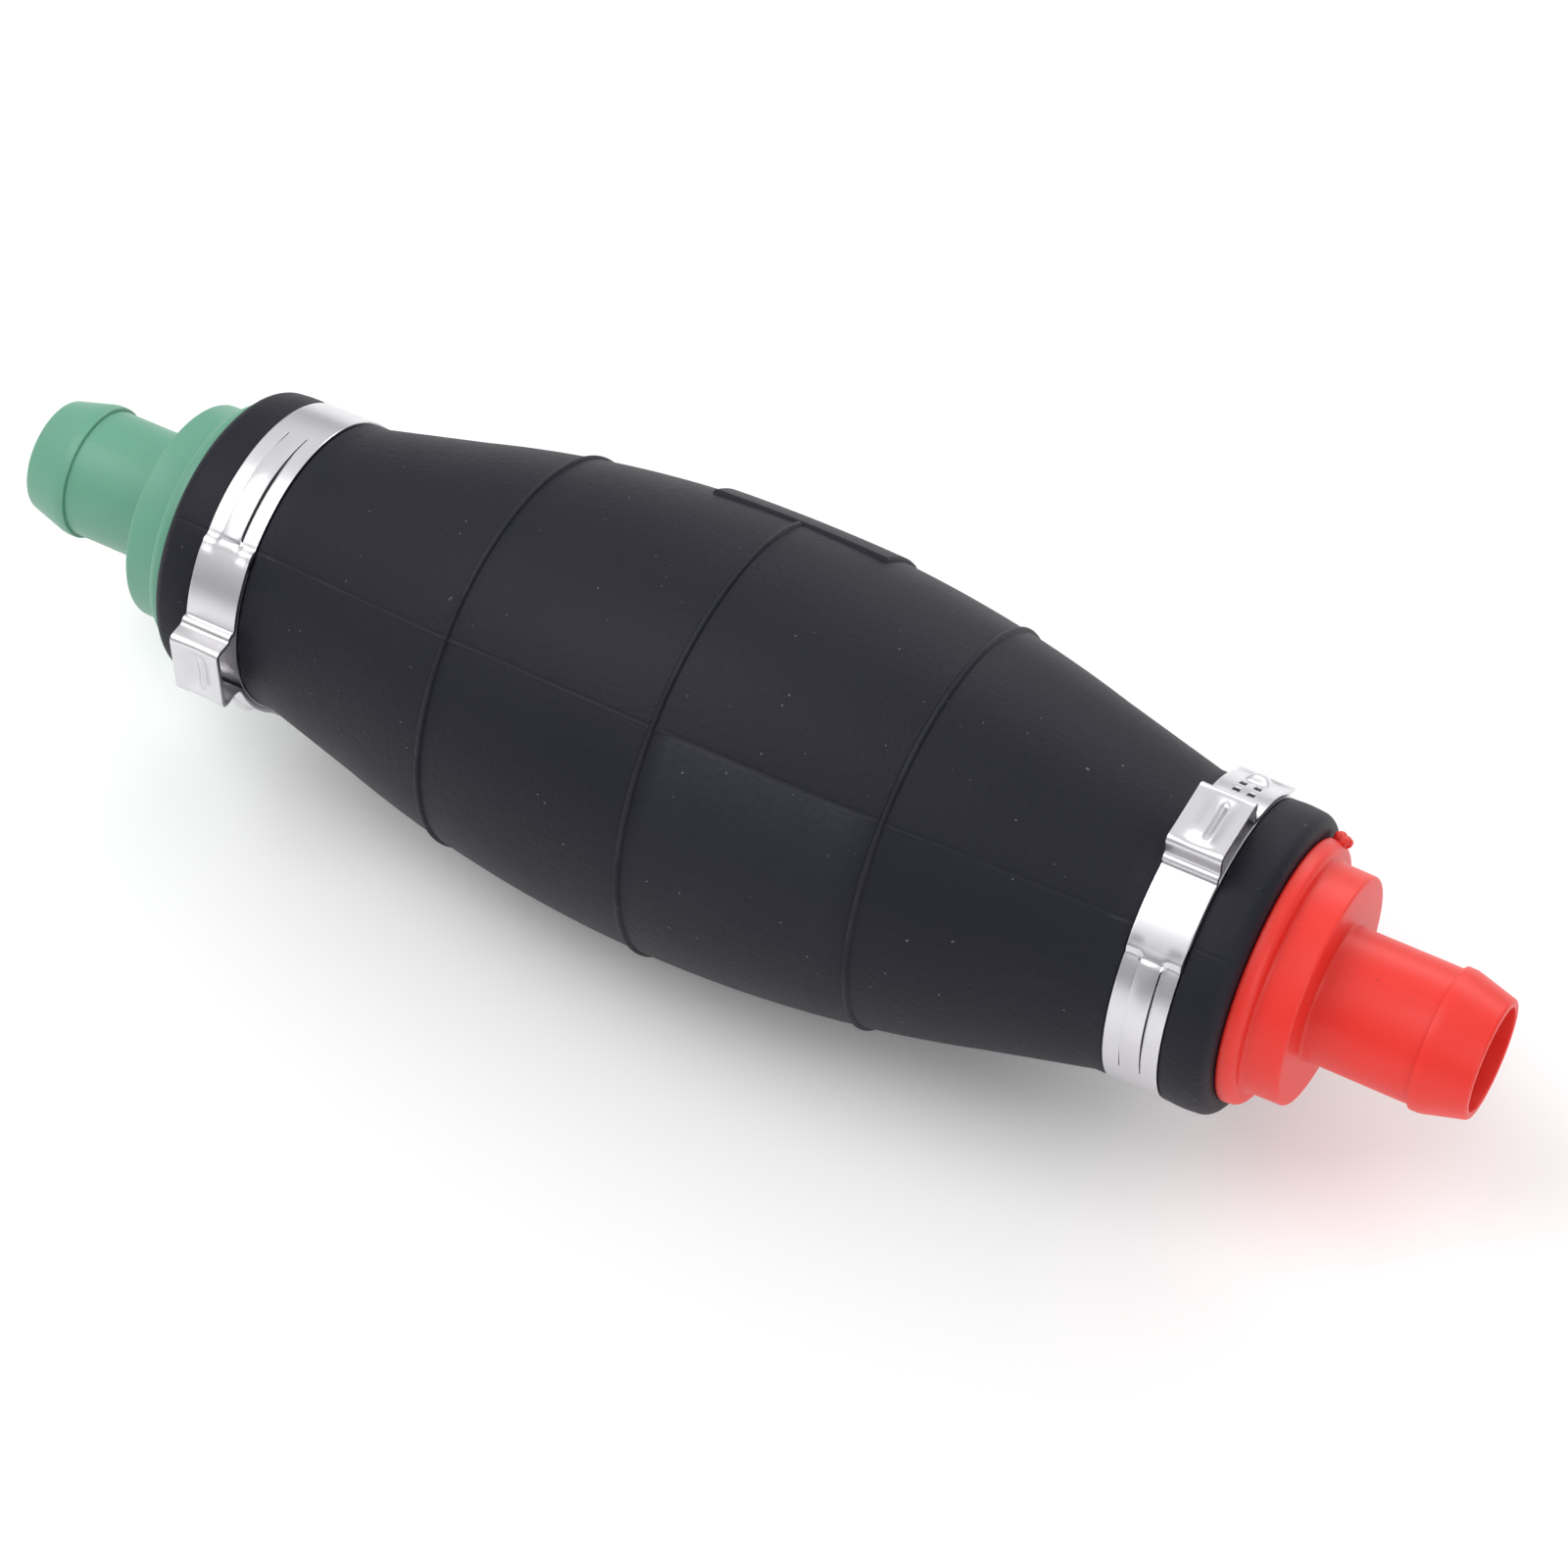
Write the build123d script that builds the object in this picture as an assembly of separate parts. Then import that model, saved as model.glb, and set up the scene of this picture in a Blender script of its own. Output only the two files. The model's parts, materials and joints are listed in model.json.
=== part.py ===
from build123d import *
from math import asin, cos, degrees, radians, sin
import os

# A hand-squeezed siphon bulb pump, in millimetres.
# +X is the way the liquid flows, from the inlet tail to the outlet tail. +Z is up as it lies.
# The origin is on the pump's axis at the middle rib. Angles about +X are counted from -Y towards +Z.

# ---- bulb (moulded rubber) ----
bulb_radius = 28.4          # outside, between the ribs, at the middle
bulb_end = 73.2             # the lips at both ends
neck_length = 15.2          # straight part that the clamp sits on
neck_radius = 19.25         # outside of the neck beside the clamp
cone_length = 14.0          # straight cone between the neck and the belly's arc
cone_rise = 3.35            # how much wider the cone is at the arc than at the neck
bulb_wall = 2.8
lip_round = 1.9             # rounding on the lip's outer edge
rib_spacing = 29.6
rib_height = 0.45
rib_radius = 0.56

# ---- squeeze pad on the bulb ----
pad_length = 24.0
pad_width = 12.0
pad_rise = 0.7              # its flat face above the belly
pad_angle = 138.0
pad_gap = 0.12              # between the pad and the wall or rib beside it
pad_corner = 1.2

# ---- hose tails on the end fittings ----
flange_overhang = 0.85      # beyond the spigot
flange_width = 2.4
flange_round = 0.9
collar_step = 2.15          # from the flange's rim in to the collar
collar_length = 4.8
collar_round = 0.5
tail_radius = 8.55
tail_length = 13.6          # plain tube, from the collar to the barb
tail_wall = 2.0
barb_step = 0.45            # height of the barb over the tube
barb_land = 1.3
barb_length = 6.8
barb_round = 0.2
tip_taper = 1.05            # how much smaller the tip is than the tube

# ---- spigot of an end fitting, inside the bulb's neck ----
fit_gap = 0.05              # between pieces that are pushed together
spigot_wall = 2.45
spigot_rim = 1.6            # beyond the snap ring's groove
shoulder_setback = 2.2      # shoulder that the valve stops on, from the lip
shoulder_ledge = 4.5        # width of that shoulder
groove_depth = 0.5          # sealing grooves under the band
groove_width = 1.6
groove_spacing = 4.6

# ---- check valve cartridge ----
seat_length = 5.0
seat_land = 2.2             # width of the face that the poppet closes on
oring_section = 1.9
oring_clearance = 0.1
cage_length = 14.0
cage_wall = 1.5
arm_count = 3
arm_width = 2.4
arm_depth = 3.0
hub_length = 4.0
hub_rim = 0.95              # beyond the spring
ring_thickness = 1.2        # snap ring that holds the cartridge in
ring_depth = 0.8            # its groove in the spigot's bore
ring_reach = 2.1            # how far it stands into the bore
ring_slot = 5.0

# ---- poppet ----
flow_gap = 2.75             # between the disc and the cage
poppet_thickness = 2.0
nose_depth = 2.5
seal_thickness = 1.4
seal_overlap = 2.0          # how far the seal reaches inside the seat's hole
seal_gap = 0.1
film_gap = 0.02             # between the seal and the disc behind it
stem_radius = 2.0
stem_clearance = 0.06
stem_setback = 0.5
wire_radius = 0.25
spring_turns = 4
spring_clearance = 0.75     # round the stem
spring_end_gap = 0.15

# ---- stepless ear clamps ----
band_width = 7.0
band_thickness = 0.6
band_setback = 9.5          # band's middle from the lip
band_gap = 0.05
neck_pinch = 0.45           # how far the closed band sinks into the neck
ear_height = 4.9
ear_half_width = 5.4
ear_lean = 0.3              # how much narrower its top is, each side
ear_round = 1.3
overlap_angle = 53.0        # end of the outer layer, from the ear's middle
hook_height = 1.1
hook_width = 2.4
hook_length = 4.0
hook_round = 0.6
hook_angle = 41.0           # from the ear's middle
inlet_ear_angle = 0.0
outlet_ear_angle = 87.0

# ---- for cutting and picking ----
cut_margin = 1.0            # how far a cutter runs past what it cuts
same_place = 0.01           # two places closer than this are one

# ---- bulb, worked out ----
neck_start = bulb_end - neck_length
belly_half_length = neck_start - cone_length
belly_sag = bulb_radius - neck_radius - cone_rise
belly_arc_radius = (belly_half_length ** 2 + belly_sag ** 2) / (2 * belly_sag)
band_centre = bulb_end - band_setback
pinched_radius = neck_radius - neck_pinch
band_inner = pinched_radius + band_gap
pad_face = bulb_radius + pad_rise

# ---- fittings, worked out ----
spigot_radius = pinched_radius - bulb_wall - fit_gap
cartridge_bore = spigot_radius - spigot_wall
cartridge_radius = cartridge_bore - fit_gap
cartridge_length = seat_length + cage_length
flange_radius = spigot_radius + flange_overhang
collar_radius = flange_radius - collar_step
tail_bore = tail_radius - tail_wall
barb_radius = tail_radius + barb_step
tip_radius = tail_radius - tip_taper
flange_end = bulb_end + flange_width
collar_end = flange_end + collar_length
barb_start = collar_end + tail_length
tip_end = barb_start + barb_length
shoulder = bulb_end - shoulder_setback
outlet_valve_start = shoulder - cartridge_length
inlet_valve_start = -shoulder
spigot_end = outlet_valve_start - ring_thickness - spigot_rim

# ---- valve, worked out (its upstream face is at x = 0) ----
poppet_radius = cartridge_radius - cage_wall - flow_gap
seat_hole = poppet_radius - seat_land
seal_inner = seat_hole - seal_overlap
oring_groove = cartridge_bore - oring_section
ring_inner = cartridge_bore - ring_reach
spring_radius = stem_radius + spring_clearance + wire_radius
hub_radius = spring_radius + wire_radius + hub_rim
seal_face = seat_length + seal_gap
disc_face = seal_face + seal_thickness
disc_back = disc_face + poppet_thickness
hub_face = cartridge_length - hub_length
stem_end = cartridge_length - stem_setback

os.makedirs("parts", exist_ok=True)


def around(angle):
    """Turn a piece built towards -Y so that it points at this angle about +X."""
    return Rot(X=-angle)


def tube(start, end, outer, inner=0.0):
    """A tube or rod along X."""
    body = Pos(X=(start + end) / 2) * Rot(Y=90) * Cylinder(outer, end - start)
    if inner:
        body -= Pos(X=(start + end) / 2) * Rot(Y=90) * Cylinder(inner, end - start + 2 * cut_margin)
    return body


def turned(edges):
    """A solid of revolution about X, from a closed outline of (x, radius) edges."""
    return revolve(make_face(edges), axis=Axis.X)


def belly_height(x, radius, arc_radius):
    """Distance of the belly's arc from the axis."""
    return radius - arc_radius + (arc_radius ** 2 - x ** 2) ** 0.5


def bulb_outline(radius, arc_radius, neck, neck_x, end_x):
    """Closed half outline of the bulb: necks, cones and the belly's arc."""
    side = belly_height(belly_half_length, radius, arc_radius)
    stations = [belly_half_length * share for share in (-1, -0.5, 0, 0.5, 1)]
    arc = Spline([(x, belly_height(x, radius, arc_radius)) for x in stations])
    right = Polyline((belly_half_length, side), (neck_x, neck), (end_x, neck), (end_x, 0))
    left = Polyline((-belly_half_length, side), (-neck_x, neck), (-end_x, neck), (-end_x, 0))
    return [arc, right, left, Line((-end_x, 0), (end_x, 0))]


def bulb_section():
    """The bulb's wall on one side of the axis, with the outer ribs, the lips and the bands' grooves."""
    section = make_face(bulb_outline(bulb_radius, belly_arc_radius, neck_radius, neck_start, bulb_end))
    ends = [v for v in section.vertices() if abs(v.X) > bulb_end - same_place]
    section = fillet([v for v in ends if v.Y > neck_radius - same_place], lip_round)
    for x in (-rib_spacing, rib_spacing):
        section += rib_section(x)
    band_groove = Rectangle(band_width + 2 * band_gap, 2 * cut_margin)
    for middle in (-band_centre, band_centre):
        section -= Pos(middle, pinched_radius + cut_margin) * band_groove
    cavity = make_face(bulb_outline(
        bulb_radius - bulb_wall, belly_arc_radius - bulb_wall, spigot_radius + fit_gap, neck_start,
        bulb_end + cut_margin))
    return section - cavity


def rib_section(x):
    """Round bead of a thin raised ring, part sunk in the bulb's wall."""
    middle = belly_height(x, bulb_radius, belly_arc_radius) + rib_height - rib_radius
    return Pos(x, middle) * Circle(rib_radius)


def pad_block(margin, height):
    """The pad's outline as a block that stands out from the axis, towards -Y before it is turned."""
    block = Box(pad_length + 2 * margin, height, pad_width + 2 * margin)
    block = fillet(block.edges().filter_by(Axis.Y), pad_corner)
    return around(pad_angle) * Pos(Y=-height / 2) * block


def bulb():
    """Moulded rubber shell. The middle rib stops on both sides of the pad."""
    break_angle = 2 * degrees(asin((pad_width / 2 + pad_gap) / bulb_radius))
    middle_rib = revolve(rib_section(0), axis=Axis.X, revolution_arc=360 - break_angle)
    turn = 180 - (pad_angle - break_angle / 2)
    return revolve(bulb_section(), axis=Axis.X) + Rot(X=turn) * middle_rib


def squeeze_pad():
    """A flat raised pad whose underside follows the bulb."""
    belly = turned(bulb_outline(
        bulb_radius + pad_gap, belly_arc_radius + pad_gap, neck_radius, neck_start, bulb_end))
    return pad_block(0, pad_face) - belly


def fitting():
    """The outlet's end fitting: a hose tail, collar, flange and spigot with the valve's pocket."""
    outline = Polyline(
        (spigot_end, cartridge_bore), (spigot_end, spigot_radius), (bulb_end + fit_gap, spigot_radius),
        (bulb_end + fit_gap, flange_radius), (flange_end, flange_radius), (flange_end, collar_radius),
        (collar_end, collar_radius), (collar_end, tail_radius), (barb_start, tail_radius),
        (barb_start, barb_radius), (barb_start + barb_land, barb_radius), (tip_end, tip_radius),
        (tip_end, tail_bore), (flange_end, tail_bore), (shoulder, cartridge_bore - shoulder_ledge),
        (shoulder, cartridge_bore), (spigot_end, cartridge_bore))
    body = turned(outline)
    body = fillet(rim(body, flange_end, flange_radius), flange_round)
    body = fillet(rim(body, collar_end, collar_radius), collar_round)
    body = fillet(rim(body, barb_start, barb_radius), barb_round)
    groove_floor = spigot_radius - groove_depth
    for x in (band_centre - groove_spacing / 2, band_centre + groove_spacing / 2):
        body -= tube(x - groove_width / 2, x + groove_width / 2, spigot_radius + cut_margin, groove_floor)
    ring_start = outlet_valve_start - ring_thickness - fit_gap
    return body - tube(ring_start, outlet_valve_start, cartridge_bore + ring_depth)


def rim(solid, x, radius):
    """The circular edges of this radius at this station."""
    circles = solid.edges().filter_by(GeomType.CIRCLE)
    return [e for e in circles if abs(e.center().X - x) < same_place and abs(e.radius - radius) < same_place]


def valve_seat():
    """Ring with the valve's hole and the O-ring's groove. Its upstream face is at x = 0."""
    body = tube(0, seat_length, cartridge_radius, seat_hole)
    middle = seat_length / 2
    half = oring_section / 2 + oring_clearance
    return body - tube(middle - half, middle + half, cartridge_bore + cut_margin, oring_groove)


def seat_oring():
    """O-ring between the valve seat and the spigot's bore."""
    middle = seat_length / 2
    section = Pos(middle, cartridge_bore - oring_section / 2) * Circle(oring_section / 2 - fit_gap)
    return revolve(section, axis=Axis.X)


def valve_cage():
    """Open cage that guides the poppet's stem."""
    start = seat_length
    end = cartridge_length
    body = tube(start + fit_gap, end, cartridge_radius, cartridge_radius - cage_wall)
    reach = cartridge_radius - cage_wall / 2
    for i in range(arm_count):
        arm = Box(arm_depth, arm_width, reach)
        body += Rot(X=i * 360 / arm_count) * Pos(end - arm_depth / 2, 0, reach / 2) * arm
    body += tube(hub_face, end, hub_radius)
    return body - tube(start, end + cut_margin, stem_radius + stem_clearance)


def poppet():
    """Disc with a domed nose that carries the seal, and a guided stem."""
    nose = Sphere(seal_inner - fit_gap)
    nose = Pos(X=seal_face) * scale(nose, (nose_depth / seal_inner, 1, 1))
    nose = nose & tube(seal_face - seal_inner, seal_face, seal_inner)
    body = nose + tube(seal_face, disc_face, seal_inner - fit_gap)
    body += tube(disc_face, disc_back, poppet_radius)
    return body + tube(disc_back, stem_end, stem_radius)


def poppet_seal():
    """Flat rubber ring on the disc, which closes on the seat."""
    return tube(seal_face, disc_face - film_gap, poppet_radius, seal_inner)


def valve_spring():
    """Compression spring round the stem, between the disc and the cage's hub."""
    start = disc_back + wire_radius + spring_end_gap
    height = hub_face - disc_back - 2 * (wire_radius + spring_end_gap)
    path = Helix(height / spring_turns, height, spring_radius)
    wire = sweep(Plane(path @ 0, z_dir=path % 0) * Circle(wire_radius), path, is_frenet=True)
    return Pos(X=start) * Rot(Y=90) * wire


def snap_ring(start):
    """Open ring sprung into the groove of the spigot's bore."""
    ring = tube(start, start + ring_thickness, cartridge_bore + ring_depth - fit_gap, ring_inner)
    return ring - Pos(start, 0, cartridge_bore) * Box(4 * ring_thickness, ring_slot, cartridge_bore)


def ear_loop(outside):
    """Section of the ear across the band, as a solid from the axis out to its top."""
    top = band_inner + band_thickness + ear_height - outside
    half = ear_half_width - outside
    foot = band_inner / 2
    outline = Polyline(
        (-foot, -half), (-top, -half + ear_lean), (-top, half - ear_lean), (-foot, half), close=True)
    block = extrude(Plane.YZ * make_face(outline), band_width / 2, both=True)
    corners = [e for e in block.edges().filter_by(Axis.X) if e.center().Y < -band_inner]
    return fillet(corners, ear_round - outside / 2)


def outer_layer(start_angle, end_angle):
    """A stretch of the band's outer layer, between two angles."""
    inner = band_inner + band_thickness
    ring = tube(-band_width / 2, band_width / 2, inner + band_thickness, inner)
    span = end_angle - start_angle
    reach = 2 * inner
    wedge = Polyline(
        (0, 0), (-reach, 0), (-reach * cos(radians(span / 2)), reach * sin(radians(span / 2))),
        (-reach * cos(radians(span)), reach * sin(radians(span))), close=True)
    cutter = extrude(Plane.YZ * make_face(wedge), band_width, both=True)
    return ring & (around(start_angle) * cutter)


def clamp_hook(ear_side):
    """Rounded bump that the closing tool holds, near the end of the outer layer."""
    top = band_inner + 2 * band_thickness + hook_height
    hook = Pos(Y=-(band_inner + top) / 2) * Box(hook_width, top - band_inner, hook_length)
    hook = fillet(hook.edges().filter_by(Axis.X).group_by(Axis.Y)[0], hook_round)
    hook -= tube(-band_width, band_width, band_inner + band_thickness)
    return around(ear_side * hook_angle) * hook


def clamp(ear_side):
    """Stepless ear clamp at x = 0, its ear towards -Y. ear_side says which way the outer layer runs."""
    band = tube(-band_width / 2, band_width / 2, band_inner + band_thickness, band_inner)
    loop = ear_loop(0) - ear_loop(band_thickness)
    loop -= tube(-band_width, band_width, band_inner + band_thickness / 2)
    foot_angle = degrees(asin((ear_half_width - 2 * band_thickness) / band_inner))
    first, last = sorted((ear_side * foot_angle, ear_side * overlap_angle))
    return band + loop + outer_layer(first, last) + clamp_hook(ear_side)


def write(solid, name):
    """One STEP file for each node."""
    export_step(solid, "parts/" + name + ".step")


def write_valve(prefix, start, ring_start):
    """One end's check valve. Both open towards +X, the way the liquid flows."""
    pieces = {
        "valve_seat": valve_seat(), "seat_oring": seat_oring(), "valve_cage": valve_cage(),
        "poppet": poppet(), "poppet_seal": poppet_seal(), "valve_spring": valve_spring()}
    for name, piece in pieces.items():
        write(Pos(X=start) * piece, prefix + "_" + name)
    write(snap_ring(ring_start), prefix + "_snap_ring")


write(bulb(), "bulb")
write(squeeze_pad(), "squeeze_pad")
write(fitting(), "outlet_fitting")
write(mirror(fitting(), about=Plane.YZ), "inlet_fitting")
write(Pos(X=-band_centre) * around(inlet_ear_angle) * clamp(-1), "inlet_clamp")
write(Pos(X=band_centre) * around(outlet_ear_angle) * clamp(1), "outlet_clamp")
write_valve("inlet", inlet_valve_start, inlet_valve_start + cartridge_length + fit_gap / 2)
write_valve("outlet", outlet_valve_start, outlet_valve_start - ring_thickness - fit_gap / 2)
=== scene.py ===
# %% [markdown]
# # A siphon bulb pump, dressed in Blender
# The pump comes from CAD as a fixed frame: a rubber bulb, a green inlet tail, a red outlet tail, two
# steel clamps and the valves inside. This lesson builds the looks round that frame. The frame's own
# pieces never move.

# %% Load the frame
import bpy
import json
import math
import numpy as np
import bmesh
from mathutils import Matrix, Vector, noise


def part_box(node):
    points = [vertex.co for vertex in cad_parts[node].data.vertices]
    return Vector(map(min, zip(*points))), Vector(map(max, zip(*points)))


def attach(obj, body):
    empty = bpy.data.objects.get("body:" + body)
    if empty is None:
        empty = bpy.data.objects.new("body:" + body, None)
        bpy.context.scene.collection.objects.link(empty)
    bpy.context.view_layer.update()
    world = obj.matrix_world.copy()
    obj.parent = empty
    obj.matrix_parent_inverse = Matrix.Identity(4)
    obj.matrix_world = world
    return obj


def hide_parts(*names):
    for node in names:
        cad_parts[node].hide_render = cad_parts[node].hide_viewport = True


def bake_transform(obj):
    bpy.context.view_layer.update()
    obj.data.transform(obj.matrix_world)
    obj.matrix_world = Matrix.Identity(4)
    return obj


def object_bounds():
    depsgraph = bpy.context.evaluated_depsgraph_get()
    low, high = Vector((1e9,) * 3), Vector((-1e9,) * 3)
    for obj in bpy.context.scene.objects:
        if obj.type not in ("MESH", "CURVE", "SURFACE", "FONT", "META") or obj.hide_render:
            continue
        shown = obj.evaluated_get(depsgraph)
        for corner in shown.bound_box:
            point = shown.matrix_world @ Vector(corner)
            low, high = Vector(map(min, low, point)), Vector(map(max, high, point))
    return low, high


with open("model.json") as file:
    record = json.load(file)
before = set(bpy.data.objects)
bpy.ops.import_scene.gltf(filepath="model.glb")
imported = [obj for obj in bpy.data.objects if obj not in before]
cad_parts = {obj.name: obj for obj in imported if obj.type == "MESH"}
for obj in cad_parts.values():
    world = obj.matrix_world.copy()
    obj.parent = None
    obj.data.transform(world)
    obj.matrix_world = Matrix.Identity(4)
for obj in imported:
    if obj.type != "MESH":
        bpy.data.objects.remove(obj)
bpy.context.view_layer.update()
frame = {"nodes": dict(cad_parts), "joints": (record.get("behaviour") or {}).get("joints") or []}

# %% [markdown]
# ## Sizes
# Everything is in metres. The bulb and the fittings are turned about the X axis, so most sizes are a
# place along X and a distance from the axis. Those that the frame can give are read from its boxes, and
# the rest are the mouldings' own small sizes.

# %% Sizes of the pump
MM = 0.001
bulb_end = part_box("bulb")[1].x
fitting_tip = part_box("outlet_fitting")[1].x
fitting_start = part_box("outlet_fitting")[0].x
flange_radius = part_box("outlet_fitting")[1].z
band_middle = sum(corner.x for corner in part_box("outlet_clamp")) / 2
band_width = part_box("outlet_clamp")[1].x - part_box("outlet_clamp")[0].x
bulb_radius = 28.4 * MM
bulb_wall = 2.8 * MM
belly_arc = 170.0 * MM
belly_half = 44.0 * MM
neck_start = 58.0 * MM
neck_radius = 19.25 * MM
pinched_radius = 18.8 * MM
neck_bore = 16.0 * MM
lip_round = 1.9 * MM
rib_places = (-29.6 * MM, 0.0, 29.6 * MM)
rib_height = 0.43 * MM
rib_width = 0.38 * MM
pad_angle = math.radians(138.0)
pad_half_width = 6.0 * MM
print("bulb half length", round(bulb_end / MM, 1), "mm, band width", round(band_width / MM, 1), "mm")

# %% [markdown]
# ## Helpers for meshes
# A turned piece is an outline of (x, radius) points carried round the axis. numpy makes all the points at
# once, which is quick and leaves room to push them in and out for mould marks. Angles are counted about
# +X from -Y towards +Z, as a dial seen from the inlet.

# %% Mesh helpers
def mesh_object(name, points, faces, sharp=35.0):
    """Object from points and faces, smooth except where the surface turns sharply."""
    mesh = bpy.data.meshes.new(name)
    mesh.from_pydata([tuple(p) for p in points], [], faces)
    mesh.validate()
    mesh.polygons.foreach_set("use_smooth", [True] * len(mesh.polygons))
    mesh.set_sharp_from_angle(angle=math.radians(sharp))
    piece = bpy.data.objects.new(name, mesh)
    bpy.context.scene.collection.objects.link(piece)
    return piece


def turned_mesh(name, outline, angles, push=None, rub_and_sheen=None, sharp=35.0):
    """Closed outline of (x, radius) carried round the axis. push(x, radius, angle) adds to the radius.
    The second function, given (x, radius, angle), marks where the surface is worn and where it gets a
    painted highlight, for the material."""
    x = np.array([p[0] for p in outline])[:, None]
    radius = np.array([p[1] for p in outline])[:, None]
    turn = np.array(angles)[None, :]
    full = radius + (push(x, radius, turn) if push else 0.0) + 0.0 * turn
    points = np.stack([x + 0.0 * turn, -full * np.cos(turn), full * np.sin(turn)], axis=-1).reshape(-1, 3)
    rows, columns = full.shape
    faces = []
    for i in range(rows):
        k = (i + 1) % rows
        for j in range(columns):
            m = (j + 1) % columns
            faces.append((i * columns + j, i * columns + m, k * columns + m, k * columns + j))
    piece = mesh_object(name, points, faces, sharp)
    if rub_and_sheen:
        rub_and_sheen_layer = piece.data.attributes.new("rub_and_sheen", "FLOAT", "POINT")
        rub_and_sheen_layer.data.foreach_set("value", (rub_and_sheen(x, radius, turn) + 0.0 * full).reshape(-1).astype(np.float32))
    print(name, "has", len(points), "points")
    return piece


def even_angles(count):
    return np.arange(count) * 2 * math.pi / count


def rounded(outline, corners, steps=5):
    """The outline with a radius on the corners named by their index."""
    result = []
    for i, point in enumerate(outline):
        if i not in corners:
            result.append(point)
            continue
        here = np.array(point)
        before = np.array(outline[i - 1]) - here
        after = np.array(outline[(i + 1) % len(outline)]) - here
        reach = corners[i]
        a = here + before / np.linalg.norm(before) * reach
        b = here + after / np.linalg.norm(after) * reach
        for s in np.linspace(0, 1, steps + 1):
            result.append(tuple((1 - s) ** 2 * a + 2 * s * (1 - s) * here + s ** 2 * b))
    return result


# %% [markdown]
# ## Shader node groups
# Moulding grain, dust, scuffs and rolling lines each turn up on several finishes. Each is built once as a
# group that puts out a mask or a height, and the Principled shader stays in the material.

# %% Group helpers
def new_group(name, inputs, outputs):
    """Node group with float inputs (name, default) and outputs of a given kind."""
    tree = bpy.data.node_groups.new(name, "ShaderNodeTree")
    for label, default in inputs:
        socket = tree.interface.new_socket(label, in_out="INPUT", socket_type="NodeSocketFloat")
        socket.default_value = default
    for label, kind in outputs:
        tree.interface.new_socket(label, in_out="OUTPUT", socket_type=kind)
    start = tree.nodes.new("NodeGroupInput")
    end = tree.nodes.new("NodeGroupOutput")
    return tree, start, end


def add(tree, kind, **settings):
    """New node with some of its settings, and inputs given by name."""
    node = tree.nodes.new(kind)
    for key, value in settings.pop("inputs", {}).items():
        node.inputs[key].default_value = value
    for key, value in settings.items():
        setattr(node, key, value)
    return node


def join(tree, *pairs):
    for source, target in pairs:
        tree.links.new(source, target)


# %% Grain: the fine texture of a mould
def make_grain():
    tree, start, end = new_group(
        "moulding_grain", [("Scale", 900.0), ("Spread", 40.0)],
        [("Height", "NodeSocketFloat"), ("Mottle", "NodeSocketFloat")])
    place = add(tree, "ShaderNodeTexCoord")
    fine = add(tree, "ShaderNodeTexNoise", inputs={"Detail": 6.0, "Roughness": 0.62})
    broad = add(tree, "ShaderNodeTexNoise", inputs={"Detail": 3.0, "Roughness": 0.55})
    join(tree,
         (place.outputs["Object"], fine.inputs["Vector"]), (place.outputs["Object"], broad.inputs["Vector"]),
         (start.outputs["Scale"], fine.inputs["Scale"]), (start.outputs["Spread"], broad.inputs["Scale"]),
         (fine.outputs["Fac"], end.inputs["Height"]), (broad.outputs["Fac"], end.inputs["Mottle"]))
    return tree


# %% Dust: scattered pale specks
def make_dust():
    tree, start, end = new_group(
        "dust_specks", [("Scale", 260.0), ("Size", 0.09), ("Amount", 0.9)], [("Mask", "NodeSocketFloat")])
    place = add(tree, "ShaderNodeTexCoord")
    wobble = add(tree, "ShaderNodeTexNoise", inputs={"Scale": 1400.0, "Detail": 2.0})
    bend = add(tree, "ShaderNodeVectorMath", operation="MULTIPLY_ADD", inputs={1: (0.0008, 0.0008, 0.0008)})
    cells = add(tree, "ShaderNodeTexVoronoi", feature="F1")
    pick = add(tree, "ShaderNodeSeparateColor")
    chosen = add(tree, "ShaderNodeMath", operation="GREATER_THAN")
    grow = add(tree, "ShaderNodeMath", operation="MULTIPLY")
    near = add(tree, "ShaderNodeMath", operation="LESS_THAN")
    both = add(tree, "ShaderNodeMath", operation="MULTIPLY")
    join(tree,
         (place.outputs["Object"], wobble.inputs["Vector"]), (wobble.outputs["Color"], bend.inputs[0]),
         (place.outputs["Object"], bend.inputs[2]), (bend.outputs["Vector"], cells.inputs["Vector"]),
         (start.outputs["Scale"], cells.inputs["Scale"]), (cells.outputs["Color"], pick.inputs["Color"]),
         (pick.outputs["Red"], chosen.inputs[0]), (start.outputs["Amount"], chosen.inputs[1]),
         (pick.outputs["Green"], grow.inputs[0]), (start.outputs["Size"], grow.inputs[1]),
         (cells.outputs["Distance"], near.inputs[0]), (grow.outputs[0], near.inputs[1]),
         (near.outputs[0], both.inputs[0]), (chosen.outputs[0], both.inputs[1]),
         (both.outputs[0], end.inputs["Mask"]))
    return tree


# %% Scuffs: long soft rubs
def make_scuffs():
    tree, start, end = new_group(
        "soft_scuffs", [("Scale", 60.0), ("From", 0.56), ("To", 0.72)], [("Mask", "NodeSocketFloat")])
    place = add(tree, "ShaderNodeTexCoord")
    stretch = add(tree, "ShaderNodeMapping")
    stretch.inputs["Scale"].default_value = (0.35, 1.0, 1.0)
    broad = add(tree, "ShaderNodeTexNoise", inputs={"Detail": 7.0, "Roughness": 0.7})
    soft = add(tree, "ShaderNodeMapRange", interpolation_type="SMOOTHSTEP")
    join(tree,
         (place.outputs["Object"], stretch.inputs["Vector"]),
         (stretch.outputs["Vector"], broad.inputs["Vector"]),
         (start.outputs["Scale"], broad.inputs["Scale"]), (broad.outputs["Fac"], soft.inputs["Value"]),
         (start.outputs["From"], soft.inputs["From Min"]), (start.outputs["To"], soft.inputs["From Max"]),
         (soft.outputs["Result"], end.inputs["Mask"]))
    return tree


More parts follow.
